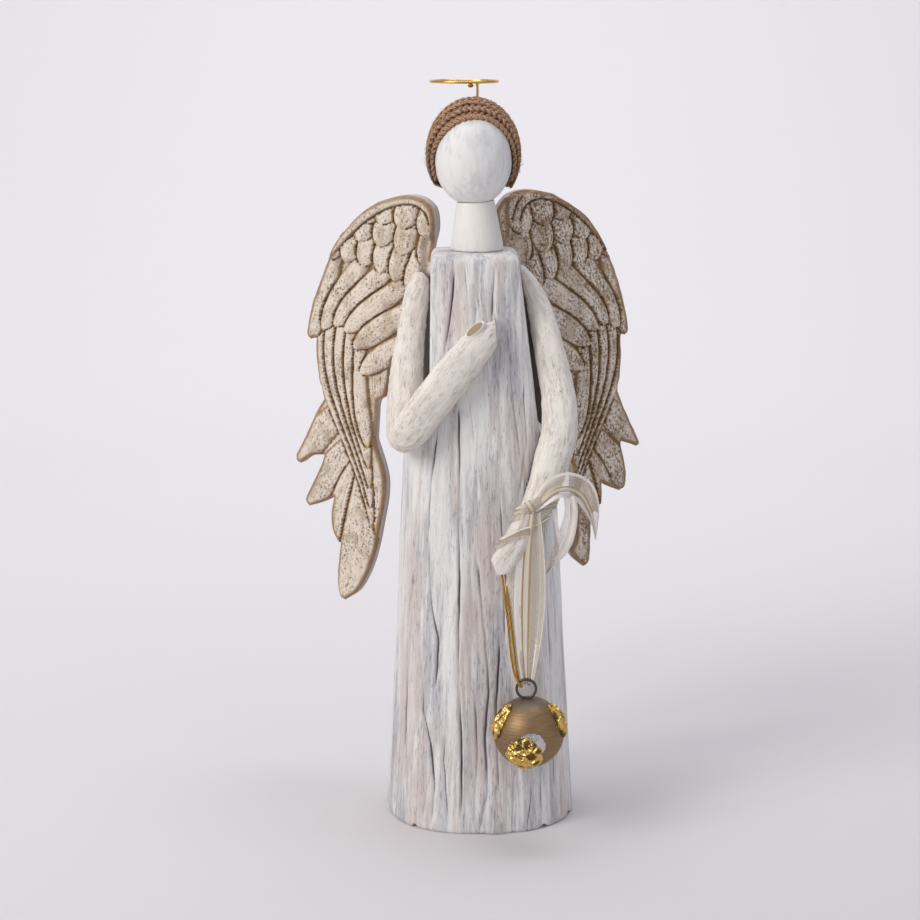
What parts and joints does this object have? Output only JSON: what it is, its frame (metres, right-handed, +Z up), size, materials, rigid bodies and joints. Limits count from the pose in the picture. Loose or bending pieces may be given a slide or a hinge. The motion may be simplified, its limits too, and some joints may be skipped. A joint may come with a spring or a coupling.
{
  "type": "wooden angel statue",
  "caption": "Standing wooden angel with a furrowed log robe, faceless head, braided hair, wire halo, carved wings, and a ball bell hung from one wrist.",
  "frame": {"origin": "middle of the robe's flat underside, which stands on a shelf or floor", "axes": "+Z up along the figure's height, -Y the way the figure faces, +X to the right of someone looking at its front"},
  "size_m": [0.2323, 0.1827, 0.4721],
  "materials": {
    "whitewashed_wood": "matt whitewash rubbed back over carved grain",
    "white_paint": "matt brushed white paint",
    "cream_wood": "matt cream limewash with fine grain",
    "gilded_brown_wood": "brown stain, gold rub and speckled whitewash",
    "jute_braid": "natural jute fibre",
    "gold_wire": "polished",
    "bronze_ball": "turned wood under brushed bronze paint",
    "dark_wire": "dark antique",
    "gold_leaf": "crumpled bright leaf",
    "sheer_ribbon": "sheer with satin stripes and gold threads",
    "gold_cord": "metallic thread"
  },
  "bodies": {
    "root": {"robe": "whitewashed_wood", "neck": "white_paint", "head": "white_paint", "hair": "jute_braid", "halo": "gold_wire", "arm_left": "cream_wood", "arm_right": "cream_wood", "wing_left": "gilded_brown_wood", "wing_right": "gilded_brown_wood", "bell": "bronze_ball", "bell_ring": "dark_wire", "gold_leaf_front": "gold_leaf", "gold_leaf_left": "gold_leaf", "gold_leaf_right": "gold_leaf", "ribbon": "sheer_ribbon", "gold_cord": "gold_cord"}
  },
  "joints": []
}
